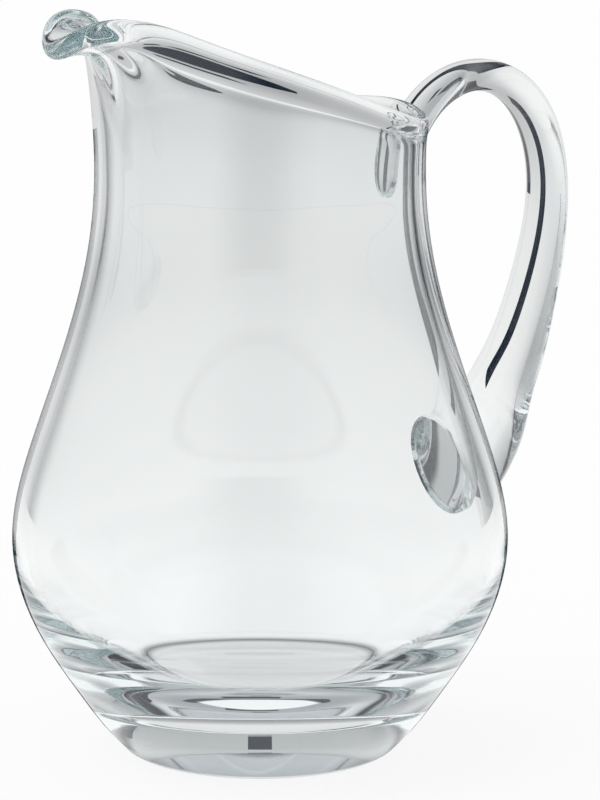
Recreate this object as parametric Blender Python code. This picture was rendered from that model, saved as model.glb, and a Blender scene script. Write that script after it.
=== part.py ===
"""A hand-made glass juice jug: a blown body with a slanting rim and a pulled spout, and a drawn handle.

Metres, +Z up. The origin is the centre of the flat underside. The handle is at +X and the spout at -X.
"""

import math

import bmesh
import bpy
import numpy as np
from mathutils import Vector

MM = 0.001

# Body outside, as (height, radius) of the turned wall above the heel
BASE_RADIUS = 36.5 * MM
HEEL_RADIUS = 5.5 * MM
HEEL_TURN = math.radians(46)
OUTER_WALL = (
    (5.8 * MM, 44.4 * MM),
    (17.4 * MM, 53.2 * MM),
    (34.0 * MM, 63.9 * MM),
    (61.9 * MM, 72.1 * MM),
    (91.7 * MM, 66.0 * MM),
    (121.4 * MM, 56.0 * MM),
    (147.0 * MM, 49.6 * MM),
    (170.6 * MM, 47.5 * MM),
    (198.0 * MM, 49.1 * MM),
    (223.3 * MM, 51.5 * MM),
)

# Body inside: the heavy base, the bowl above it and the wall from there up
FLOOR_HEIGHT = 18.8 * MM
FLOOR_FLAT_RADIUS = 35.5 * MM
INNER_WALL = (
    (21.0 * MM, 40.5 * MM),
    (24.9 * MM, 46.0 * MM),
    (30.0 * MM, 52.1 * MM),
    (38.0 * MM, 59.4 * MM),
    (61.9 * MM, 68.4 * MM),
    (91.7 * MM, 61.9 * MM),
    (121.4 * MM, 52.0 * MM),
    (147.0 * MM, 45.4 * MM),
    (170.6 * MM, 43.7 * MM),
    (198.0 * MM, 45.4 * MM),
    (223.3 * MM, 47.8 * MM),
)

# Rim: the middle of the bead on the wall's edge, sheared on a slant and lifted where the handle was pressed on
RIM_MIDDLE = 195.4 * MM
RIM_SLANT = 18.4 * MM
RIM_LIFT = 8.7 * MM
RIM_LIFT_SPREAD = math.radians(40.9)

# Bead: how much thicker than the wall the fire-polished edge is on each side, all round and more near the spout,
# how far down the wall that reaches, and how much lower the edge lies where it drew back into a thicker bead
BEAD_SWELL = 0.5 * MM
BEAD_AT_SPOUT = 1.5 * MM
BEAD_SPREAD = math.radians(68)
BEAD_REACH = 3.1 * MM
BEAD_SINK = 0.9

# Spout: how far the rim was pulled out, the dip of its lip between two raised ears, and its thicker edge
SPOUT_REACH = 19.6 * MM
SPOUT_SPREAD = math.radians(15.7)
LIP_DIP = 8.1 * MM
LIP_DIP_SPREAD = math.radians(8.4)
EAR_LIFT = 4.1 * MM
EAR_SPREAD = math.radians(33)
LIP_THICKER = 0.6

# How the wall bends out to the lip: where the bend starts under the rim, the turn at the lip, and how strongly the
# curve keeps to the wall and to the lip, as shares of the depth and the reach
SPOUT_DEPTH = 26.0 * MM
LIP_TURN = math.radians(102)
PLAIN_PULL = 0.33
WALL_PULL = 0.82
LIP_PULL = 0.75

# Handle: stations from the pad on the belly, up the rod and over the loop, to the tip of the tail on the neck,
# as (x, z, half depth in the plane of the loop, half width across it)
HANDLE = (
    (72.2 * MM, 76.5 * MM, 15.7 * MM, 15.0 * MM),
    (77.1 * MM, 80.8 * MM, 13.2 * MM, 14.2 * MM),
    (82.6 * MM, 88.6 * MM, 10.4 * MM, 13.2 * MM),
    (87.4 * MM, 98.7 * MM, 8.6 * MM, 11.9 * MM),
    (93.7 * MM, 111.3 * MM, 7.3 * MM, 10.4 * MM),
    (100.9 * MM, 134.5 * MM, 6.3 * MM, 8.3 * MM),
    (103.7 * MM, 157.4 * MM, 5.6 * MM, 7.3 * MM),
    (99.6 * MM, 175.9 * MM, 5.4 * MM, 7.3 * MM),
    (89.3 * MM, 188.1 * MM, 5.1 * MM, 7.1 * MM),
    (75.5 * MM, 192.1 * MM, 4.7 * MM, 6.9 * MM),
    (62.8 * MM, 188.2 * MM, 4.7 * MM, 6.6 * MM),
    (54.5 * MM, 180.3 * MM, 4.8 * MM, 6.4 * MM),
    (50.6 * MM, 171.5 * MM, 4.6 * MM, 6.0 * MM),
    (49.5 * MM, 164.3 * MM, 4.2 * MM, 5.8 * MM),
    (49.1 * MM, 159.8 * MM, 3.0 * MM, 4.4 * MM),
    (48.8 * MM, 157.9 * MM, 1.3 * MM, 2.0 * MM),
)
PAD_STATIONS = 2
TAIL_TIP = 157.5 * MM
GLASS_GAP = 0.3 * MM

# Fineness of the meshes; the body's columns crowd towards the spout and its upper rows towards the rim
HANDLE_SIDES = 20
HANDLE_ROWS = 3
PAD_RINGS = 3
BODY_COLUMNS = 90
COLUMN_CROWD = 0.5
HEEL_ROWS = 3
WALL_ROWS = 17
SPOUT_ROWS = 10
ROW_CROWD = 1.7
BEAD_ROWS = 5
FINE_STEP = 0.01


def smooth_curve(points):
    """A natural cubic spline through (position, value) points, as a function of the position."""
    x, y = np.array(points).T
    steps = np.diff(x)
    slopes = np.diff(y) / steps
    count = len(x)
    system = np.eye(count)
    bends = np.zeros(count)
    for i in range(1, count - 1):
        system[i, i - 1 : i + 2] = steps[i - 1], 2 * (steps[i - 1] + steps[i]), steps[i]
        bends[i] = 6 * (slopes[i] - slopes[i - 1])
    bends = np.linalg.solve(system, bends)

    def value(at):
        i = int(np.clip(np.searchsorted(x, at) - 1, 0, count - 2))
        left, right, step = x[i + 1] - at, at - x[i], steps[i]
        return float(
            (bends[i] * left**3 + bends[i + 1] * right**3) / (6 * step)
            + (y[i] / step - bends[i] * step / 6) * left
            + (y[i + 1] / step - bends[i + 1] * step / 6) * right
        )

    return value


outer_radius = smooth_curve(OUTER_WALL)
inner_radius = smooth_curve(INNER_WALL)


def bell(away, spread):
    """1 at no angle or distance away, falling off to 0 on both sides."""
    return math.exp(-((away / spread) ** 2))


def from_spout(angle):
    """The angle from the spout, the short way."""
    return math.remainder(angle - math.pi, 2 * math.pi)


def from_handle(angle):
    """The angle from the handle, the short way."""
    return math.remainder(angle, 2 * math.pi)


def bead_swell(angle):
    """How much thicker than the wall the bead is, on each side. The pulled lip has none."""
    near_spout = bell(from_spout(angle), BEAD_SPREAD)
    return (BEAD_SWELL + BEAD_AT_SPOUT * near_spout) * (1 - bell(from_spout(angle), SPOUT_SPREAD))


def rim_height(angle):
    """Height of the middle of the bead on the rim, at an angle from the handle."""
    return (
        RIM_MIDDLE
        - RIM_SLANT * math.cos(angle)
        + RIM_LIFT * bell(from_handle(angle), RIM_LIFT_SPREAD)
        + EAR_LIFT * bell(from_spout(angle), EAR_SPREAD)
        - LIP_DIP * bell(from_spout(angle), LIP_DIP_SPREAD)
        - BEAD_SINK * bead_swell(angle)
    )


def cubic(points, t):
    """A point on the cubic curve with these four control points."""
    a, b, c, d = points
    return (1 - t) ** 3 * a + 3 * (1 - t) ** 2 * t * b + 3 * (1 - t) * t**2 * c + t**3 * d


def middle_radius(height):
    return (outer_radius(height) + inner_radius(height)) / 2


def spout_wall(angle):
    """The upper wall at an angle: rows of (middle, outward normal, half thickness), up to the rim."""
    pull = bell(from_spout(angle), SPOUT_SPREAD)
    top = rim_height(angle)
    low = top - SPOUT_DEPTH
    start = Vector((middle_radius(low), low))
    end = Vector((middle_radius(top) + SPOUT_REACH * pull, top))
    rise = Vector((middle_radius(low + MM) - middle_radius(low), MM)).normalized()
    flare = math.atan2(middle_radius(top + MM) - middle_radius(top), MM)
    turn = flare + (LIP_TURN - flare) * pull
    out = Vector((math.sin(turn), math.cos(turn)))
    reach_back = PLAIN_PULL * SPOUT_DEPTH * (1 - pull) + LIP_PULL * SPOUT_REACH * pull
    rise_up = SPOUT_DEPTH * (PLAIN_PULL + (WALL_PULL - PLAIN_PULL) * pull)
    points = (start, start + rise * rise_up, end - out * reach_back, end)
    rows = []
    for i in range(SPOUT_ROWS + 1):
        t = 1 - (1 - i / SPOUT_ROWS) ** ROW_CROWD
        here = cubic(points, t)
        along = (cubic(points, min(t + FINE_STEP, 1)) - cubic(points, max(t - FINE_STEP, 0))).normalized()
        normal = Vector((along.y, -along.x))
        height = low + (top - low) * t
        half = (outer_radius(height) - inner_radius(height)) / 2 * (1 + LIP_THICKER * pull * t)
        half += bead_swell(angle) * bell(top - height, BEAD_REACH)
        rows.append((here, normal, half))
    return rows


def wall_section(angle):
    """The wall's outline at an angle, as (radius, height): out over the base, up, over the rim and down inside."""
    upper = spout_wall(angle)
    low = rim_height(angle) - SPOUT_DEPTH
    outline = [Vector((BASE_RADIUS, 0))]
    for i in range(1, HEEL_ROWS + 1):
        turn = HEEL_TURN * i / HEEL_ROWS
        outline.append(
            Vector((BASE_RADIUS + HEEL_RADIUS * math.sin(turn), HEEL_RADIUS * (1 - math.cos(turn))))
        )
    bottom = OUTER_WALL[0][0]
    for i in range(WALL_ROWS):
        height = bottom + (low - bottom) * i / WALL_ROWS
        outline.append(Vector((outer_radius(height), height)))
    outline += [middle + normal * half for middle, normal, half in upper]
    middle, normal, half = upper[-1]
    along = Vector((-normal.y, normal.x))
    for i in range(1, BEAD_ROWS):
        turn = math.pi * i / BEAD_ROWS
        outline.append(middle + half * (normal * math.cos(turn) + along * math.sin(turn)))
    outline += [middle - normal * half for middle, normal, half in reversed(upper)]
    bottom = INNER_WALL[0][0]
    for i in reversed(range(WALL_ROWS)):
        height = bottom + (low - bottom) * i / WALL_ROWS
        outline.append(Vector((inner_radius(height), height)))
    outline.append(Vector((FLOOR_FLAT_RADIUS, FLOOR_HEIGHT)))
    return outline


def glass(name, tint):
    """Clear glass with a faint tint."""
    material = bpy.data.materials.new(name)
    material.use_nodes = True
    shader = material.node_tree.nodes["Principled BSDF"]
    shader.inputs["Base Color"].default_value = (*tint, 1)
    shader.inputs["Metallic"].default_value = 0
    shader.inputs["Roughness"].default_value = 0.02
    shader.inputs["IOR"].default_value = 1.52
    shader.inputs["Transmission Weight"].default_value = 1
    return material


def finish(mesh, name, material):
    """Makes the mesh a smooth object with its normals facing out."""
    bmesh.ops.recalc_face_normals(mesh, faces=mesh.faces)
    data = bpy.data.meshes.new(name)
    mesh.to_mesh(data)
    mesh.free()
    data.shade_smooth()
    data.materials.append(material)
    made = bpy.data.objects.new(name, data)
    bpy.context.scene.collection.objects.link(made)
    return made


def loft_round(sections, bottom, top):
    """Joins the sections of a round body side by side, closed by a point below and one inside."""
    mesh = bmesh.new()
    rings = []
    for angle, outline in sections:
        rings.append(
            [mesh.verts.new((p.x * math.cos(angle), p.x * math.sin(angle), p.y)) for p in outline]
        )
    low, high = mesh.verts.new(bottom), mesh.verts.new(top)
    for i, ring in enumerate(rings):
        after = rings[(i + 1) % len(rings)]
        mesh.faces.new((low, after[0], ring[0]))
        for j in range(len(ring) - 1):
            mesh.faces.new((ring[j], after[j], after[j + 1], ring[j + 1]))
        mesh.faces.new((ring[-1], after[-1], high))
    return mesh


def jug_body():
    turns = [2 * math.pi * i / BODY_COLUMNS for i in range(BODY_COLUMNS)]
    angles = [turn + COLUMN_CROWD * math.sin(turn) for turn in turns]
    sections = [(angle, wall_section(angle)) for angle in angles]
    mesh = loft_round(sections, (0, 0, 0), (0, 0, FLOOR_HEIGHT))
    return finish(mesh, "jug_body", glass("blown_glass", (0.93, 0.96, 0.96)))


def pressed(side, height):
    """The place on the handle's side of the body, just off the wall, at a distance sideways and a height."""
    seat = outer_radius(height) + GLASS_GAP
    return Vector((math.sqrt(seat**2 - side**2), side, height))


def off_wall(point):
    """The point, or if it lies in the body's wall, the place outside it that the hot glass gave way to."""
    seat = outer_radius(point.z) + GLASS_GAP
    distance = math.hypot(point.x, point.y)
    if distance >= seat:
        return point
    return Vector((point.x * seat / distance, point.y * seat / distance, point.z))


def wall_lean(height):
    """Angle of the wall's outside from upright, positive where it leans in."""
    return math.atan2(outer_radius(height) - outer_radius(height + MM), MM)


def handle_ring(curves, position):
    """One oval of the handle, at a position counted in stations. The first lies on the wall."""
    x, z, depth, width = (curve(position) for curve in curves)
    run = curves[0](position + FINE_STEP) - curves[0](position - FINE_STEP)
    climb = curves[1](position + FINE_STEP) - curves[1](position - FINE_STEP)
    square = math.atan2(climb, run)
    if position < PAD_STATIONS:
        square = wall_lean(z) + (square - wall_lean(z)) * position / PAD_STATIONS
    across = Vector((-math.sin(square), 0, math.cos(square)))
    ring = []
    for i in range(HANDLE_SIDES):
        turn = 2 * math.pi * i / HANDLE_SIDES
        side = Vector((0, math.sin(turn) * width, 0))
        point = Vector((x, 0, z)) + across * (math.cos(turn) * depth) + side
        ring.append(pressed(point.y, point.z) if position == 0 else off_wall(point))
    return ring


def handle():
    columns = zip(*HANDLE)
    curves = [smooth_curve(list(enumerate(column))) for column in columns]
    spans = len(HANDLE) - 1
    rings = [handle_ring(curves, i / HANDLE_ROWS) for i in range(spans * HANDLE_ROWS + 1)]
    pad_height = HANDLE[0][1]
    for i in range(1, PAD_RINGS):
        share = 1 - 1 / (PAD_RINGS - i + 1)
        inner = [(p.y * share, pad_height + (p.z - pad_height) * share) for p in rings[0]]
        rings.insert(0, [pressed(side, height) for side, height in inner])
    mesh = bmesh.new()
    loops = [[mesh.verts.new(p) for p in ring] for ring in rings]
    first = mesh.verts.new(pressed(0, pad_height))
    last = mesh.verts.new(pressed(0, TAIL_TIP))
    for i in range(HANDLE_SIDES):
        j = (i + 1) % HANDLE_SIDES
        mesh.faces.new((first, loops[0][i], loops[0][j]))
        for ring, after in zip(loops, loops[1:]):
            mesh.faces.new((ring[i], after[i], after[j], ring[j]))
        mesh.faces.new((last, loops[-1][j], loops[-1][i]))
    return finish(mesh, "handle", glass("drawn_glass", (0.93, 0.96, 0.96)))


for old in list(bpy.data.objects):
    bpy.data.objects.remove(old)
jug_body()
handle()
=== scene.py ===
# %% [markdown]
# # A juice jug of clear glass, blown and drawn by hand
#
# The real jug is two pieces of glass. The body was blown, its rim was cut on a slant with shears,
# and the spout was pulled out of the soft rim. The handle is a second lump of glass, pressed on the
# belly, drawn up into a rod, looped over and pressed on the neck. This lesson models both pieces,
# gives them their glass, and lights them the way glass is lit in a studio: by what it shows, not by
# lamps on it.

# %% Load the frame
import math

import bmesh
import bpy
import numpy as np
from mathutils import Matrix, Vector
from mathutils.kdtree import KDTree


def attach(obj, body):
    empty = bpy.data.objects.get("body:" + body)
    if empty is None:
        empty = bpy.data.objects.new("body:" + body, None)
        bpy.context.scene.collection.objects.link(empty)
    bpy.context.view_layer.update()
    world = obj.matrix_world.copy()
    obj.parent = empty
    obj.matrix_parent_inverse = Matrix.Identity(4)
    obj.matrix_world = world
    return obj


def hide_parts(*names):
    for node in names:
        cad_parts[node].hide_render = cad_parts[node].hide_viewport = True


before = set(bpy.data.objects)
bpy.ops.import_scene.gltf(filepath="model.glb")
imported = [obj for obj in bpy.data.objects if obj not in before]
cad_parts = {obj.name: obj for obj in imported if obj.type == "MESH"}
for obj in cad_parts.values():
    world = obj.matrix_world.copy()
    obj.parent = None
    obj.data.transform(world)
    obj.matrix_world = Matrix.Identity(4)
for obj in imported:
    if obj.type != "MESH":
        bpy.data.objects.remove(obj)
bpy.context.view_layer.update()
MM = 0.001
print("CAD nodes:", sorted(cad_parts))

# %% [markdown]
# ## Two small helpers
#
# Colours are easiest to read as the hex values that a paint program shows. Blender's shaders work
# in linear light, so one function turns them round. A second function adds a shader node with its
# settings and its links.


# %% Helpers for colours and nodes
def linear(hex_colour):
    """A colour such as #F0F4F5 as linear red, green, blue and alpha."""
    shares = [int(hex_colour[i : i + 2], 16) / 255 for i in (1, 3, 5)]
    return (*[s / 12.92 if s <= 0.04045 else ((s + 0.055) / 1.055) ** 2.4 for s in shares], 1)


def add_node(tree, kind, links=None, values=None, **settings):
    """A new node. links gives the outputs that go to its sockets, values the constants they hold."""
    made = tree.nodes.new(kind)
    for name, value in settings.items():
        setattr(made, name, value)
    for name, value in (values or {}).items():
        made.inputs[name].default_value = value
    for name, output in (links or {}).items():
        tree.links.new(output, made.inputs[name])
    return made


print("mid grey is", linear("#808080"))

# %% [markdown]
# ## The measures of the body
#
# A blown body is round, so its wall is given by radii at a few heights, outside and inside. A
# smooth curve through them gives every other height. The base is heavy: the glass under the floor
# is nearly 19 mm thick.

# %% Measures of the wall, as (height, radius)
BASE_RADIUS = 36.5 * MM
HEEL_RADIUS = 5.5 * MM
HEEL_TURN = math.radians(46)
HEEL_END = (
    HEEL_RADIUS * (1 - math.cos(HEEL_TURN)),
    BASE_RADIUS + HEEL_RADIUS * math.sin(HEEL_TURN),
)
OUTER_WALL = (
    HEEL_END,
    (5.8 * MM, 44.4 * MM),
    (17.4 * MM, 53.2 * MM),
    (34.0 * MM, 63.9 * MM),
    (61.9 * MM, 72.1 * MM),
    (91.7 * MM, 66.0 * MM),
    (121.4 * MM, 56.0 * MM),
    (147.0 * MM, 49.6 * MM),
    (170.6 * MM, 47.5 * MM),
    (198.0 * MM, 49.1 * MM),
    (223.3 * MM, 51.5 * MM),
)
INNER_WALL = (
    (30.0 * MM, 52.1 * MM),
    (38.0 * MM, 59.4 * MM),
    (61.9 * MM, 68.4 * MM),
    (91.7 * MM, 61.9 * MM),
    (121.4 * MM, 52.0 * MM),
    (147.0 * MM, 45.4 * MM),
    (170.6 * MM, 43.7 * MM),
    (198.0 * MM, 45.4 * MM),
    (223.3 * MM, 47.8 * MM),
)
BELLY_HEIGHT = 61.9 * MM
NECK_HEIGHT = 172 * MM
BOWL_SIDE = 44 * MM
BOWL_TOP = BELLY_HEIGHT
BOWL_POINTS = 4
# The floor inside, from the middle out, as (radius, height)
FLOOR = (
    (0.0 * MM, 18.8 * MM),
    (10.0 * MM, 18.8 * MM),
    (20.0 * MM, 18.8 * MM),
    (30.0 * MM, 18.8 * MM),
    (34.5 * MM, 18.8 * MM),
    (36.8 * MM, 19.1 * MM),
    (38.8 * MM, 20.0 * MM),
    (42.0 * MM, 22.1 * MM),
    (46.6 * MM, 25.5 * MM),
    (52.1 * MM, 30.0 * MM),
    (59.4 * MM, 38.0 * MM),
)


def smooth_curve(points):
    """A natural cubic spline through (position, value) points, as a function of the position."""
    x, y = np.array(points).T
    steps = np.diff(x)
    slopes = np.diff(y) / steps
    count = len(x)
    system = np.eye(count)
    bends = np.zeros(count)
    for i in range(1, count - 1):
        system[i, i - 1 : i + 2] = steps[i - 1], 2 * (steps[i - 1] + steps[i]), steps[i]
        bends[i] = 6 * (slopes[i] - slopes[i - 1])
    bends = np.linalg.solve(system, bends)

    def value(at):
        i = int(np.clip(np.searchsorted(x, at) - 1, 0, count - 2))
        left, right, step = x[i + 1] - at, at - x[i], steps[i]
        return float(
            (bends[i] * left**3 + bends[i + 1] * right**3) / (6 * step)
            + (y[i] / step - bends[i] * step / 6) * left
            + (y[i + 1] / step - bends[i + 1] * step / 6) * right
        )

    return value


outer_radius = smooth_curve(OUTER_WALL)
inner_radius = smooth_curve(INNER_WALL)


def middle_radius(height):
    return (outer_radius(height) + inner_radius(height)) / 2


def smooth_path(points):
    """A smooth path through points in the plane, as a function of the share of its length."""
    lengths = [0.0]
    for a, b in zip(points, points[1:]):
        lengths.append(lengths[-1] + math.dist(a, b))
    shares = [length / lengths[-1] for length in lengths]
    first, second = zip(*points)
    across, up = smooth_curve(list(zip(shares, first))), smooth_curve(list(zip(shares, second)))
    return lambda share: Vector((across(share), up(share)))


bowl_sides = [(inner_radius(h), h) for h in np.linspace(BOWL_SIDE, BOWL_TOP, BOWL_POINTS)]
bowl = smooth_path([*FLOOR, *bowl_sides])
belly, neck = (2 * outer_radius(height) / MM for height in (BELLY_HEIGHT, NECK_HEIGHT))
print(f"belly {belly:.0f} mm across, neck {neck:.0f} mm")

# %% [markdown]
# ## The slanting rim and the spout
#
# The shears cut the rim high at the spout and low at the handle. Then the soft edge was pulled out
# and down between two raised ears. Each is a bell-shaped change round the rim, so the section of
# the wall can be worked out at any angle: a plain wall at the sides, and a wall that bends out to
# the lip at the spout.

# %% The section of the wall at an angle from the handle
RIM_MIDDLE = 195.4 * MM
RIM_SLANT = 18.4 * MM
RIM_LIFT = 8.7 * MM
RIM_LIFT_SPREAD = math.radians(40.9)
SPOUT_REACH = 19.6 * MM
SPOUT_SPREAD = math.radians(15.7)
LIP_DIP = 8.1 * MM
LIP_DIP_SPREAD = math.radians(8.4)
EAR_LIFT = 4.1 * MM
EAR_SPREAD = math.radians(33)
LIP_THICKER = 0.6
BEAD_SWELL = 0.5 * MM
BEAD_AT_SPOUT = 1.5 * MM
BEAD_SPREAD = math.radians(68)
BEAD_REACH = 3.1 * MM
BEAD_SINK = 0.9
SPOUT_DEPTH = 26.0 * MM
LIP_TURN = math.radians(102)
PLAIN_PULL = 0.33
WALL_PULL = 0.82
LIP_PULL = 0.75
FINE_STEP = 0.01

UNDERSIDE_RADII = (0 * MM, 12 * MM, 24 * MM, 32 * MM, 35.4 * MM, 36.2 * MM)
HEEL_ROWS = 8
WALL_ROWS = 52
SPOUT_ROWS = 30
ROW_CROWD = 1.8
BEAD_ROWS = 14
INNER_ROWS = 42
BOWL_ROWS = 64


def bell(angle, spread):
    """1 at no angle, falling off to 0 on both sides."""
    return math.exp(-((angle / spread) ** 2))


def from_spout(angle):
    return math.remainder(angle - math.pi, 2 * math.pi)


def from_handle(angle):
    return math.remainder(angle, 2 * math.pi)


def bead_swell(angle):
    """How much the fire-polished edge is thicker than the wall, on each side. The pulled lip is not."""
    near_spout = bell(from_spout(angle), BEAD_SPREAD)
    return (BEAD_SWELL + BEAD_AT_SPOUT * near_spout) * (1 - bell(from_spout(angle), SPOUT_SPREAD))


def rim_height(angle):
    """Height of the middle of the bead on the rim."""
    return (
        RIM_MIDDLE
        - RIM_SLANT * math.cos(angle)
        + RIM_LIFT * bell(from_handle(angle), RIM_LIFT_SPREAD)
        + EAR_LIFT * bell(from_spout(angle), EAR_SPREAD)
        - LIP_DIP * bell(from_spout(angle), LIP_DIP_SPREAD)
        - BEAD_SINK * bead_swell(angle)
    )


def cubic(points, t):
    """A point on the cubic curve with these four control points."""
    a, b, c, d = points
    return (1 - t) ** 3 * a + 3 * (1 - t) ** 2 * t * b + 3 * (1 - t) * t**2 * c + t**3 * d


def spout_wall(angle):
    """The upper wall: rows of (middle, outward normal, half thickness), up to the rim."""
    pull = bell(from_spout(angle), SPOUT_SPREAD)
    top = rim_height(angle)
    low = top - SPOUT_DEPTH
    start = Vector((middle_radius(low), low))
    end = Vector((middle_radius(top) + SPOUT_REACH * pull, top))
    rise = Vector((middle_radius(low + MM) - middle_radius(low), MM)).normalized()
    flare = math.atan2(middle_radius(top + MM) - middle_radius(top), MM)
    turn = flare + (LIP_TURN - flare) * pull
    out = Vector((math.sin(turn), math.cos(turn)))
    reach_back = PLAIN_PULL * SPOUT_DEPTH * (1 - pull) + LIP_PULL * SPOUT_REACH * pull
    rise_up = SPOUT_DEPTH * (PLAIN_PULL + (WALL_PULL - PLAIN_PULL) * pull)
    points = (start, start + rise * rise_up, end - out * reach_back, end)
    rows = []
    for i in range(SPOUT_ROWS + 1):
        t = 1 - (1 - i / SPOUT_ROWS) ** ROW_CROWD
        ahead, behind = cubic(points, min(t + FINE_STEP, 1)), cubic(points, max(t - FINE_STEP, 0))
        along = (ahead - behind).normalized()
        height = low + (top - low) * t
        half = (outer_radius(height) - inner_radius(height)) / 2 * (1 + LIP_THICKER * pull * t)
        half += bead_swell(angle) * bell(top - height, BEAD_REACH)
        rows.append((cubic(points, t), Vector((along.y, -along.x)), half))
    return rows


def wall_section(angle):
    """The section as (radius, height): out under the base, up outside, over the rim, down inside."""
    upper = spout_wall(angle)
    low = rim_height(angle) - SPOUT_DEPTH
    outline = [Vector((radius, 0)) for radius in UNDERSIDE_RADII]
    for i in range(HEEL_ROWS):
        turn = HEEL_TURN * i / HEEL_ROWS
        radius = BASE_RADIUS + HEEL_RADIUS * math.sin(turn)
        outline.append(Vector((radius, HEEL_RADIUS * (1 - math.cos(turn)))))
    bottom = HEEL_END[0]
    for height in np.linspace(bottom, low, WALL_ROWS, endpoint=False):
        outline.append(Vector((outer_radius(height), height)))
    outline += [middle + normal * half for middle, normal, half in upper]
    middle, normal, half = upper[-1]
    along = Vector((-normal.y, normal.x))
    for i in range(1, BEAD_ROWS):
        turn = math.pi * i / BEAD_ROWS
        outline.append(middle + half * (normal * math.cos(turn) + along * math.sin(turn)))
    outline += [middle - normal * half for middle, normal, half in reversed(upper)]
    for height in reversed(np.linspace(BOWL_TOP, low, INNER_ROWS, endpoint=False)):
        outline.append(Vector((inner_radius(height), height)))
    outline += [bowl(1 - i / BOWL_ROWS) for i in range(1, BOWL_ROWS + 1)]
    return outline


print(f"{len(wall_section(0))} points in the section")
print(f"rim {rim_height(0) / MM:.0f} mm high at the handle")

# %% [markdown]
# ## The blown body
#
# A glassblower first makes a round blank. It is drawn here the same way: the section at the side,
# where nothing is pulled, is extruded point by point from one vertex, and spun round the axis. Then
# the blank is shaped hot: each column of its points moves to the section at its own angle, which
# slants the rim and pulls out the spout.

# %% Spin the blank and shape it
BODY_COLUMNS = 264
SEAM_GAP = 0.005 * MM


def start_piece(name):
    """Names the primitive that was just added."""
    made = bpy.context.object
    made.name = made.data.name = name
    return made


bpy.ops.object.select_all(action="DESELECT")
bpy.ops.mesh.primitive_plane_add(size=MM)
body = start_piece("blown_body")
blank = wall_section(math.pi / 2)
bpy.ops.object.mode_set(mode="EDIT")
bpy.ops.mesh.select_all(action="SELECT")
bpy.ops.mesh.merge(type="CENTER")
for last, point in zip(blank, blank[1:]):
    step = point - last
    bpy.ops.mesh.extrude_region_move(TRANSFORM_OT_translate={"value": (step.x, 0, step.y)})
bpy.ops.mesh.select_all(action="SELECT")
bpy.ops.mesh.spin(steps=BODY_COLUMNS, angle=2 * math.pi, center=(0, 0, 0), axis=(0, 0, 1))
bpy.ops.mesh.select_all(action="SELECT")
bpy.ops.mesh.remove_doubles(threshold=SEAM_GAP)
bpy.ops.object.mode_set(mode="OBJECT")

rows = KDTree(len(blank))
for i, point in enumerate(blank):
    rows.insert((point.x, 0, point.y), i)
rows.balance()
sections = {}
for vertex in body.data.vertices:
    angle = math.atan2(vertex.co.y, vertex.co.x)
    column = round(angle * BODY_COLUMNS / (2 * math.pi)) % BODY_COLUMNS
    if column not in sections:
        sections[column] = wall_section(2 * math.pi * column / BODY_COLUMNS)
    row = rows.find((math.hypot(vertex.co.x, vertex.co.y), 0, vertex.co.z))[1]
    radius, height = sections[column][row]
    turn = 2 * math.pi * column / BODY_COLUMNS
    vertex.co = (radius * math.cos(turn), radius * math.sin(turn), height)


def close_piece(piece):
    """Turns the faces outwards and shades the piece smooth."""
    bpy.ops.object.select_all(action="DESELECT")
    piece.select_set(True)
    bpy.context.view_layer.objects.active = piece
    bpy.ops.object.mode_set(mode="EDIT")
    bpy.ops.mesh.select_all(action="SELECT")
    bpy.ops.mesh.normals_make_consistent(inside=False)
    bpy.ops.object.mode_set(mode="OBJECT")
    bpy.ops.object.shade_smooth()
    triangles = sum(len(face.vertices) - 2 for face in piece.data.polygons)
    size = [round(side / MM, 1) for side in piece.dimensions]
    print(f"{piece.name}: {triangles} triangles, {size} mm")


close_piece(body)

# %% [markdown]
# ## The drawn handle
#
# The handle starts as a fat lump pressed on the belly, where it spreads into an oval pad. From
# there the rod is drawn up, thinner and thinner, looped over and pressed on the neck, where its end
# runs down the wall as a short tail. So the model starts with a small disc on the belly and grows
# ring by ring, with one extrusion for each ring. Where a ring would reach into the wall, the soft
# glass gave way. Two bodies of glass that fuse have no air between them, so the pressed faces lie a
# hair inside the wall.

# %% Stations of the handle, as (x, z, half depth in the plane of the loop, half width across it)
HANDLE = (
    (72.2 * MM, 76.5 * MM, 15.7 * MM, 15.0 * MM),
    (77.1 * MM, 80.8 * MM, 13.2 * MM, 14.2 * MM),
    (82.6 * MM, 88.6 * MM, 10.4 * MM, 13.2 * MM),
    (87.4 * MM, 98.7 * MM, 8.6 * MM, 11.9 * MM),
    (93.7 * MM, 111.3 * MM, 7.3 * MM, 10.4 * MM),
    (100.9 * MM, 134.5 * MM, 6.3 * MM, 8.3 * MM),
    (103.7 * MM, 157.4 * MM, 5.6 * MM, 7.3 * MM),
    (99.6 * MM, 175.9 * MM, 5.4 * MM, 7.3 * MM),
    (89.3 * MM, 188.1 * MM, 5.1 * MM, 7.1 * MM),
    (75.5 * MM, 192.1 * MM, 4.7 * MM, 6.9 * MM),
    (62.8 * MM, 188.2 * MM, 4.7 * MM, 6.6 * MM),
    (54.5 * MM, 180.3 * MM, 4.8 * MM, 6.4 * MM),
    (50.6 * MM, 171.5 * MM, 4.6 * MM, 6.0 * MM),
    (49.5 * MM, 164.3 * MM, 4.2 * MM, 5.8 * MM),
    (49.1 * MM, 159.8 * MM, 3.0 * MM, 4.4 * MM),
    (48.8 * MM, 157.9 * MM, 1.3 * MM, 2.0 * MM),
)
PAD_STATIONS = 2
FUSED = 0.15 * MM
HANDLE_SIDES = 64
RINGS_PER_STATION = 10
PAD_RINGS = 9

handle_curves = [smooth_curve(list(enumerate(column))) for column in zip(*HANDLE)]


def pressed(side, height):
    """The place on the wall at the handle, at a distance sideways and a height."""
    seat = outer_radius(height) - FUSED
    return Vector((math.sqrt(seat**2 - side**2), side, height))


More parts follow.
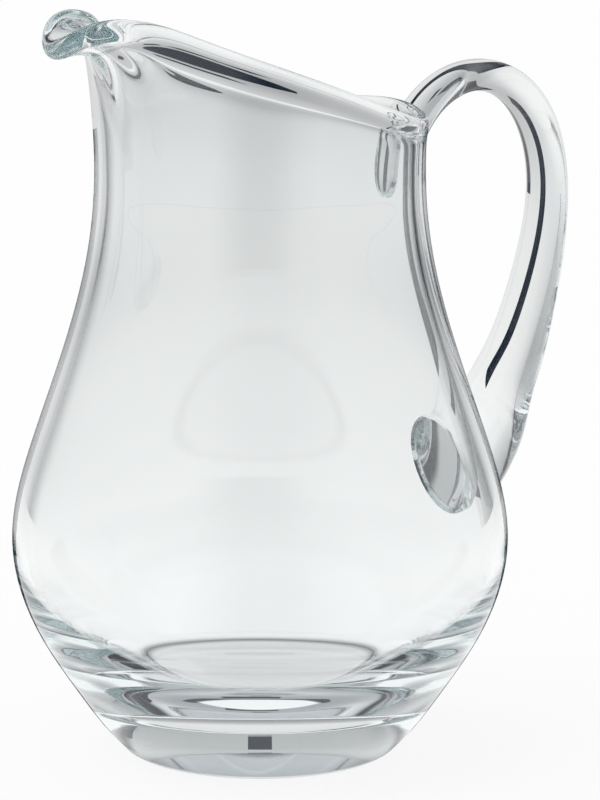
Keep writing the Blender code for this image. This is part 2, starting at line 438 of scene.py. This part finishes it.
def off_wall(point):
    """The point, or if it lies in the wall, the place on it that the soft glass gave way to."""
    seat = outer_radius(point.z) - FUSED
    distance = math.hypot(point.x, point.y)
    if distance >= seat:
        return point
    return Vector((point.x * seat / distance, point.y * seat / distance, point.z))


def wall_lean(height):
    """Angle of the wall's outside from upright, positive where it leans in."""
    return math.atan2(outer_radius(height) - outer_radius(height + MM), MM)


def handle_ring(position):
    """The points of one oval, at a position counted in stations. The first lies on the wall."""
    x, z, depth, width = (curve(position) for curve in handle_curves)
    ahead, behind = position + FINE_STEP, position - FINE_STEP
    run, climb = (curve(ahead) - curve(behind) for curve in handle_curves[:2])
    square = math.atan2(climb, run)
    if position < PAD_STATIONS:
        square = wall_lean(z) + (square - wall_lean(z)) * position / PAD_STATIONS
    across = Vector((-math.sin(square), 0, math.cos(square)))
    ring = []
    for i in range(HANDLE_SIDES):
        turn = 2 * math.pi * i / HANDLE_SIDES
        point = Vector((x, math.sin(turn) * width, z)) + across * (math.cos(turn) * depth)
        ring.append(pressed(point.y, point.z) if position == 0 else off_wall(point))
    return ring


def pad_ring(share):
    """A smaller copy of the first oval, on the wall inside it."""
    height = HANDLE[0][1]
    return [pressed(p.y * share, height + (p.z - height) * share) for p in handle_ring(0)]


spans = len(HANDLE) - 1
rings = [pad_ring(i / PAD_RINGS) for i in range(1, PAD_RINGS)]
rings += [handle_ring(i / RINGS_PER_STATION) for i in range(spans * RINGS_PER_STATION + 1)]

# %% Grow the handle ring by ring
bpy.ops.object.select_all(action="DESELECT")
bpy.ops.mesh.primitive_circle_add(vertices=HANDLE_SIDES, radius=MM, fill_type="TRIFAN")
handle = start_piece("drawn_handle")
bpy.ops.object.mode_set(mode="EDIT")
mesh = bmesh.from_edit_mesh(handle.data)
edge_points = [v for v in mesh.verts if v.co.length > MM / 2]
loop = sorted(edge_points, key=lambda v: math.atan2(v.co.y, v.co.x))
hub = next(v for v in mesh.verts if v.co.length < MM / 2)
hub.co = pressed(0, HANDLE[0][1])
hub.select_set(False)
for vertex, point in zip(loop, rings[0]):
    vertex.co = point
mesh.select_flush(False)
bpy.ops.mesh.select_mode(type="EDGE")
for ring in rings[1:]:
    bpy.ops.mesh.select_all(action="DESELECT")
    for i, vertex in enumerate(loop):
        edge = next(e for e in vertex.link_edges if e.other_vert(vertex) == loop[i - 1])
        edge.select_set(True)
    bpy.ops.mesh.extrude_edges_move()
    mesh = bmesh.from_edit_mesh(handle.data)
    grown = [v for v in mesh.verts if v.select]
    places = KDTree(len(grown))
    for i, vertex in enumerate(grown):
        places.insert(vertex.co, i)
    places.balance()
    loop = [grown[places.find(vertex.co)[1]] for vertex in loop]
    for vertex, point in zip(loop, ring):
        vertex.co = point
bpy.ops.mesh.edge_face_add()
bpy.ops.object.mode_set(mode="OBJECT")
print(len(rings), "rings")
close_piece(handle)

# %% [markdown]
# ## The glass
#
# Both pieces are clear soda-lime glass, fire-polished: an IOR of about 1.52 and no roughness to
# speak of. It lets nearly all light through, and only in the thick base, the rim and the rod does
# its faint blue-green show, because light is absorbed along its way through. Hand-worked glass is
# never quite even, so a very low, slow bump bends what shows through it a little.

# %% Clear glass, blown and drawn
CLEAR = linear("#FDFEFE")
DEPTH_TINT = linear("#DAECEE")
TINT_DENSITY = 2.5
GLASS_IOR = 1.52
WAVES_PER_METRE = 1 / (30 * MM)
WAVE_HEIGHT = 0.05 * MM


def clear_glass(name, stretch):
    """Glass with slow waves from its making, longer along Z by the stretch."""
    made = bpy.data.materials.new(name)
    made.use_nodes = True
    tree = made.node_tree
    shader = tree.nodes["Principled BSDF"]
    place = add_node(tree, "ShaderNodeTexCoord")
    drawn = add_node(
        tree,
        "ShaderNodeMapping",
        links={"Vector": place.outputs["Object"]},
        values={"Scale": (1, 1, 1 / stretch)},
    )
    waves = add_node(
        tree,
        "ShaderNodeTexNoise",
        links={"Vector": drawn.outputs["Vector"]},
        values={"Scale": WAVES_PER_METRE, "Detail": 1.0, "Roughness": 0.4},
    )
    bump = add_node(
        tree,
        "ShaderNodeBump",
        links={"Height": waves.outputs["Fac"]},
        values={"Strength": 1.0, "Distance": WAVE_HEIGHT},
    )
    tree.links.new(bump.outputs["Normal"], shader.inputs["Normal"])
    shader.inputs["Base Color"].default_value = CLEAR
    shader.inputs["Roughness"].default_value = 0.0
    shader.inputs["IOR"].default_value = GLASS_IOR
    shader.inputs["Transmission Weight"].default_value = 1.0
    depth = add_node(
        tree, "ShaderNodeVolumeAbsorption", values={"Color": DEPTH_TINT, "Density": TINT_DENSITY}
    )
    tree.links.new(depth.outputs["Volume"], tree.nodes["Material Output"].inputs["Volume"])
    return made


for piece, node, finish, stretch in (
    (body, "jug_body", "blown_glass", 1.0),
    (handle, "handle", "drawn_glass", 3.0),
):
    piece.data.materials.clear()
    piece.data.materials.append(clear_glass(f"{finish}_clear", stretch))
    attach(piece, "root")
    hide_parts(node)
    print(piece.name, "is", piece.data.materials[0].name)

# %% [markdown]
# ## The studio
#
# Clear glass has no look of its own: it shows what stands round it, bent. So the jug stands on
# white paper in a ring of white panels, as in a studio for glassware. Dark places in the ring and a
# few black cards draw its lines: the edges, the stripe in the rod and the streak in the bead of the
# rim. The camera doesn't see the panels. It sees white paper, which still takes the jug's shadow.

# %% White paper, which the glass shows too, with a painted shadow under the jug
FLOOR_SIZE = 12.0
FLOOR_DROP = 0.2 * MM
RING = 0.9
WHITE = linear("#FFFFFF")
PAPER = linear("#FAFAFA")
NAVY = linear("#16202E")
PAPER_GLOW = 0.9
PAPER_ROUGHNESS = 0.9
# The paper as the glass shows it, as (distance from the axis, colour). Under the base it has a light
# painted shade, and under the heel a dark ring of painted shadow, which the camera doesn't see.
PAPER_SEEN_WITH_PAINTED_SHADOW = (
    (0.0 * MM, "#E7E7E7"),
    (36.2 * MM, "#E7E7E7"),
    (37.2 * MM, "#585A5C"),
    (40.8 * MM, "#585A5C"),
    (43.5 * MM, "#FFFFFF"),
    (200.0 * MM, "#FFFFFF"),
    (300.0 * MM, "#FAFAFA"),
    (500.0 * MM, "#F3F3F3"),
    (730.0 * MM, "#ECECEC"),
    (900.0 * MM, "#E5E5E5"),
    (905.0 * MM, "#16202E"),
)


def light_path(tree):
    """Outputs that are 1 for rays off or through the glass, and 1 for the camera's own rays."""
    path = add_node(tree, "ShaderNodeLightPath")
    glassy = add_node(tree, "ShaderNodeMath", operation="MAXIMUM")
    tree.links.new(path.outputs["Is Glossy Ray"], glassy.inputs[0])
    tree.links.new(path.outputs["Is Transmission Ray"], glassy.inputs[1])
    return glassy.outputs["Value"], path.outputs["Is Camera Ray"]


def add_ramp(tree, value, length, stops):
    """Colours along a length, from (place, hex colour) stops."""
    share = add_node(tree, "ShaderNodeMath", operation="DIVIDE")
    tree.links.new(value, share.inputs[0])
    share.inputs[1].default_value = length
    made = add_node(tree, "ShaderNodeValToRGB", links={"Fac": share.outputs["Value"]})
    marks = made.color_ramp.elements
    while len(marks) < len(stops):
        marks.new(1.0)
    for mark, (place, colour) in zip(marks, stops):
        mark.position = place / length
        mark.color = linear(colour)
    return made.outputs["Color"]


def mix_colours(tree, share, first, second, blend="MIX"):
    """Two colours mixed by a share. Each of the three is a constant or another node's output."""
    made = add_node(tree, "ShaderNodeMix", data_type="RGBA", blend_type=blend)
    colours = [socket for socket in made.inputs if socket.type == "RGBA"]
    for socket, value in zip((made.inputs["Factor"], *colours), (share, first, second)):
        if isinstance(value, bpy.types.NodeSocket):
            tree.links.new(value, socket)
        else:
            socket.default_value = value
    return next(socket for socket in made.outputs if socket.type == "RGBA")


bpy.ops.object.select_all(action="DESELECT")
bpy.ops.mesh.primitive_plane_add(size=FLOOR_SIZE, location=(0, 0, -FLOOR_DROP))
floor = start_piece("paper_floor")
paper = bpy.data.materials.new("white_paper")
paper.use_nodes = True
tree = paper.node_tree
shader = tree.nodes["Principled BSDF"]
shader.inputs["Base Color"].default_value = PAPER
shader.inputs["Roughness"].default_value = PAPER_ROUGHNESS
shader.inputs["Specular IOR Level"].default_value = 0.0
place = add_node(tree, "ShaderNodeTexCoord")
distance = add_node(tree, "ShaderNodeVectorMath", operation="LENGTH")
tree.links.new(place.outputs["Object"], distance.inputs["Vector"])
# The glass sees this paper with the painted shade under the base and the painted shadow under the heel
in_glass = add_ramp(tree, distance.outputs["Value"], 1.0, PAPER_SEEN_WITH_PAINTED_SHADOW)
glassy, to_camera = light_path(tree)
colour = mix_colours(tree, glassy, WHITE, in_glass)
glow = add_node(tree, "ShaderNodeEmission", links={"Color": colour})
bright = add_node(tree, "ShaderNodeMath", operation="MULTIPLY_ADD")
tree.links.new(to_camera, bright.inputs[0])
bright.inputs[1].default_value = PAPER_GLOW
tree.links.new(glassy, bright.inputs[2])
mixed = add_node(tree, "ShaderNodeMixShader", links={"Fac": bright.outputs["Value"]})
tree.links.new(shader.outputs["BSDF"], mixed.inputs[1])
tree.links.new(glow.outputs["Emission"], mixed.inputs[2])
tree.links.new(mixed.outputs["Shader"], tree.nodes["Material Output"].inputs["Surface"])
floor.data.materials.append(paper)
print(f"paper {FLOOR_SIZE:.0f} m across")

# %% [markdown]
# ## Panels and cards
#
# The panels are pieces of one round wall, given by the bearings of their sides, seen from above and
# counted from the handle, and by the heights of their foot and top. They are brightest at the foot,
# as paper that curves up from a table is. At two bearings they fade to dark, which draws soft lines
# inside the edges of the jug. In front of it panels and paper are shaded, which draws the soft band
# down the middle of the belly. Two gaps behind it show as the streak in the rim and as a small dark
# block in the base.

# %% White panels in a ring
PANEL_FOOT = -5 * MM
PANEL_TOP = 660 * MM
# As (bearing from, bearing to, foot, top)
PANELS = (
    (61, 406, PANEL_FOOT, PANEL_TOP),
    (46, 53.5, PANEL_FOOT, 365 * MM),
    (53.5, 58.5, PANEL_FOOT, 225 * MM),
    (53.5, 58.5, 285 * MM, 365 * MM),
    (58.5, 61, PANEL_FOOT, 365 * MM),
    (46, 61, 610 * MM, PANEL_TOP),
)
# As (height, colour)
PANEL_SEEN = (
    (0 * MM, "#E4E5E6"),
    (70 * MM, "#D6D7D8"),
    (160 * MM, "#C4C5C6"),
    (280 * MM, "#B4B5B6"),
    (500 * MM, "#A9AAAB"),
    (660 * MM, "#A5A6A7"),
)
# What is left of the brightness, as (bearing, share as a grey)
PANEL_SHADE = (
    (2, "#1A222E"),
    (15, "#1A222E"),
    (20, "#FFFFFF"),
    (95, "#FFFFFF"),
    (100, "#1A222E"),
    (104, "#1A222E"),
    (111, "#FFFFFF"),
    (205, "#FFFFFF"),
    (230, "#60646A"),
    (250, "#60646A"),
    (280, "#FFFFFF"),
    (357, "#FFFFFF"),
)
# The paper in front of the jug, as (bearing, colour)
PAPER_SHADE = (
    (205, "#F6F6F6"),
    (230, "#5A5E62"),
    (250, "#5A5E62"),
    (280, "#F6F6F6"),
)
FRONT_NEAR = 100 * MM
FRONT_FAR = 895 * MM
FRONT_HEIGHT = 1 * MM
COLUMN_WIDTH = 2
PANEL_ROWS = 2
FRONT_COLUMNS = 45
FRONT_ROWS = 4


def glowing(name):
    """A material that only glows, with its node tree and its emission shader."""
    made = bpy.data.materials.new(name)
    made.use_nodes = True
    tree = made.node_tree
    glow = add_node(tree, "ShaderNodeEmission")
    tree.links.new(glow.outputs["Emission"], tree.nodes["Material Output"].inputs["Surface"])
    return made, tree, glow


def stand_in_studio(name, material, columns, rows, place):
    """A sheet that only the glass shows. place gives a point for shares of its width and its height."""
    bpy.ops.mesh.primitive_grid_add(x_subdivisions=columns, y_subdivisions=rows, size=1)
    sheet = start_piece(name)
    for vertex in sheet.data.vertices:
        vertex.co = place(vertex.co.x + 0.5, vertex.co.y + 0.5)
    sheet.data.materials.append(material)
    sheet.visible_camera = False
    sheet.visible_diffuse = False
    sheet.visible_shadow = False
    sheet.visible_volume_scatter = False
    return sheet


def between(start, end, share):
    return start + (end - start) * share


def by_bearing(tree, place, stops):
    """Colours round the axis, from (bearing, hex colour) stops between 0 and a full turn."""
    turned = add_node(
        tree,
        "ShaderNodeVectorRotate",
        rotation_type="Z_AXIS",
        links={"Vector": place},
        values={"Angle": math.pi},
    )
    parts = add_node(tree, "ShaderNodeSeparateXYZ", links={"Vector": turned.outputs["Vector"]})
    bearing = add_node(tree, "ShaderNodeMath", operation="ARCTAN2")
    tree.links.new(parts.outputs["Y"], bearing.inputs[0])
    tree.links.new(parts.outputs["X"], bearing.inputs[1])
    # An arctangent lies within half a turn of 0, so half a turn was taken off and is put back
    full = add_node(tree, "ShaderNodeMath", operation="ADD")
    tree.links.new(bearing.outputs["Value"], full.inputs[0])
    full.inputs[1].default_value = math.pi
    stops = [(math.radians(degrees), colour) for degrees, colour in stops]
    return add_ramp(tree, full.outputs["Value"], 2 * math.pi, stops)


white_panel, tree, glow = glowing("white_panel")
place = add_node(tree, "ShaderNodeTexCoord").outputs["Object"]
parts = add_node(tree, "ShaderNodeSeparateXYZ", links={"Vector": place})
upward = add_ramp(tree, parts.outputs["Z"], PANEL_TOP, PANEL_SEEN)
shade = by_bearing(tree, place, PANEL_SHADE)
tree.links.new(mix_colours(tree, 1.0, upward, shade, "MULTIPLY"), glow.inputs["Color"])
for number, (start, end, foot, top) in enumerate(PANELS):

    def on_ring(across, up):
        bearing = math.radians(between(start, end, across))
        return RING * math.cos(bearing), RING * math.sin(bearing), between(foot, top, up)

    columns = math.ceil((end - start) / COLUMN_WIDTH)
    stand_in_studio(f"panel_{number}", white_panel, columns, PANEL_ROWS, on_ring)

shaded_paper, tree, glow = glowing("shaded_paper")
place = add_node(tree, "ShaderNodeTexCoord").outputs["Object"]
tree.links.new(by_bearing(tree, place, PAPER_SHADE), glow.inputs["Color"])


def in_front(across, out):
    bearing = math.radians(between(PAPER_SHADE[0][0], PAPER_SHADE[-1][0], across))
    distance = between(FRONT_NEAR, FRONT_FAR, out)
    return distance * math.cos(bearing), distance * math.sin(bearing), FRONT_HEIGHT


stand_in_studio("front_paper", shaded_paper, FRONT_COLUMNS, FRONT_ROWS, in_front)
print(len(PANELS), "panels round the jug")

# %% [markdown]
# ## Black strips and a card
#
# A photographer puts black cards as close to glass as the picture allows, because its outline
# mirrors what stands right beside it. Here a thin black strip stands on either side of the wall.
# Only mirrored rays meet the strips, so they don't show through the glass. A last card stands
# behind the handle and draws the stripe in its rod.

# %% Strips and a card
VIEW = math.radians(56)
# As (bearing of the edge at the wall, bearing that the strip runs in)
EDGE_STRIPS = ((146, 157), (326, 337))
STRIP_GAP = 0.06 * MM
STRIP_WIDTH = 5 * MM
STRIP_HEIGHTS = (2 * MM, 182 * MM)
STRIP_ROWS = 90
HANDLE_CARD_SIDES = (88 * MM, 107 * MM)
HANDLE_CARD_HEIGHTS = (45 * MM, 200 * MM)
HANDLE_CARD_DEEP = 170 * MM


def place_seen(side, deep, height):
    """A place by how far it is to the right, behind the axis and up, as the camera sees it."""
    return (
        deep * math.cos(VIEW) + side * math.sin(VIEW),
        deep * math.sin(VIEW) - side * math.cos(VIEW),
        height,
    )


black_card, tree, glow = glowing("black_card")
glow.inputs["Color"].default_value = NAVY
for edge, run in EDGE_STRIPS:

    def beside_wall(across, up):
        height = between(*STRIP_HEIGHTS, up)
        start = outer_radius(max(height, HEEL_END[0])) + STRIP_GAP
        step = STRIP_WIDTH * across
        return (
            start * math.cos(math.radians(edge)) + step * math.cos(math.radians(run)),
            start * math.sin(math.radians(edge)) + step * math.sin(math.radians(run)),
            height,
        )

    strip = stand_in_studio(f"edge_strip_{edge}", black_card, 1, STRIP_ROWS, beside_wall)
    strip.visible_transmission = False


def behind_handle(across, up):
    side = between(*HANDLE_CARD_SIDES, across)
    return place_seen(side, HANDLE_CARD_DEEP, between(*HANDLE_CARD_HEIGHTS, up))


stand_in_studio("handle_card", black_card, 1, 1, behind_handle)
print(len(EDGE_STRIPS), "strips and a card")

# %% [markdown]
# ## Room and light
#
# The room behind the panels is dark, with a white soft box straight above the jug. For everything
# but the glass it is a plain white room, and one large soft lamp gives the shadow on the paper its
# side.

# %% Room and lamp
# As (rise of the direction, from 0 when level to 1 when straight up, colour)
ROOM_SEEN = (
    (0.0, "#16202E"),
    (0.69, "#16202E"),
    (0.76, "#B0B3B7"),
    (0.86, "#CBCED2"),
    (1.0, "#CBCED2"),
)
ROOM_GREY = linear("#CCCCCC")
LAMP_STRENGTH = 1.2
LAMP_SOFTNESS = math.radians(60)
LAMP_TILT = (math.radians(-18), math.radians(-24), 0)

room = bpy.data.worlds.new("white_room")
bpy.context.scene.world = room
room.use_nodes = True
tree = room.node_tree
way = add_node(tree, "ShaderNodeTexCoord")
parts = add_node(tree, "ShaderNodeSeparateXYZ", links={"Vector": way.outputs["Generated"]})
glassy, to_camera = light_path(tree)
plain = mix_colours(tree, to_camera, ROOM_GREY, WHITE)
in_glass = add_ramp(tree, parts.outputs["Z"], 1.0, ROOM_SEEN)
tree.links.new(mix_colours(tree, glassy, plain, in_glass), tree.nodes["Background"].inputs["Color"])

sun = bpy.data.lights.new("soft_lamp", "SUN")
sun.energy = LAMP_STRENGTH
sun.angle = LAMP_SOFTNESS
lamp = bpy.data.objects.new("soft_lamp", sun)
bpy.context.scene.collection.objects.link(lamp)
lamp.rotation_euler = LAMP_TILT
lamp.visible_glossy = False
lamp.visible_transmission = False
print("room", room.name, "and lamp", lamp.name)

# %% [markdown]
# ## The camera
#
# The photograph was taken from a little above, with a long lens, and the handle points away to the
# right. The lens and the height are those at which the slanting rim, the base and the spout all
# fall where they do in the picture. Light goes through the base and the rod many times before it
# comes out, so a path may bend many times.

# %% Camera at the photograph's place
CAMERA_DISTANCE = 1300 * MM
CAMERA_HEIGHT = 367.9 * MM
LOOK_DOWN = math.radians(11.519)
LENS_PIXELS = 4582
FRAME_WIDTH, FRAME_HEIGHT = 600, 800
AXIS_PIXEL = 260
SENSOR = 36
NEAREST = 50 * MM
BOUNCES = 128

lens = bpy.data.cameras.new("photo_camera")
camera = bpy.data.objects.new("photo_camera", lens)
bpy.context.scene.collection.objects.link(camera)
camera.location = place_seen(0, -CAMERA_DISTANCE, CAMERA_HEIGHT)
camera.rotation_euler = (math.pi / 2 - LOOK_DOWN, 0, VIEW - math.pi / 2)
lens.sensor_width = SENSOR
lens.lens = LENS_PIXELS * SENSOR / FRAME_HEIGHT
lens.shift_x = (FRAME_WIDTH / 2 - AXIS_PIXEL) / FRAME_HEIGHT
lens.clip_start = NEAREST
scene = bpy.context.scene
scene.camera = camera
scene.view_settings.view_transform = "Standard"
scene.cycles.max_bounces = BOUNCES
scene.cycles.transmission_bounces = BOUNCES
scene.cycles.glossy_bounces = BOUNCES
print(f"camera {CAMERA_HEIGHT:.2f} m up, lens {lens.lens:.0f} mm")
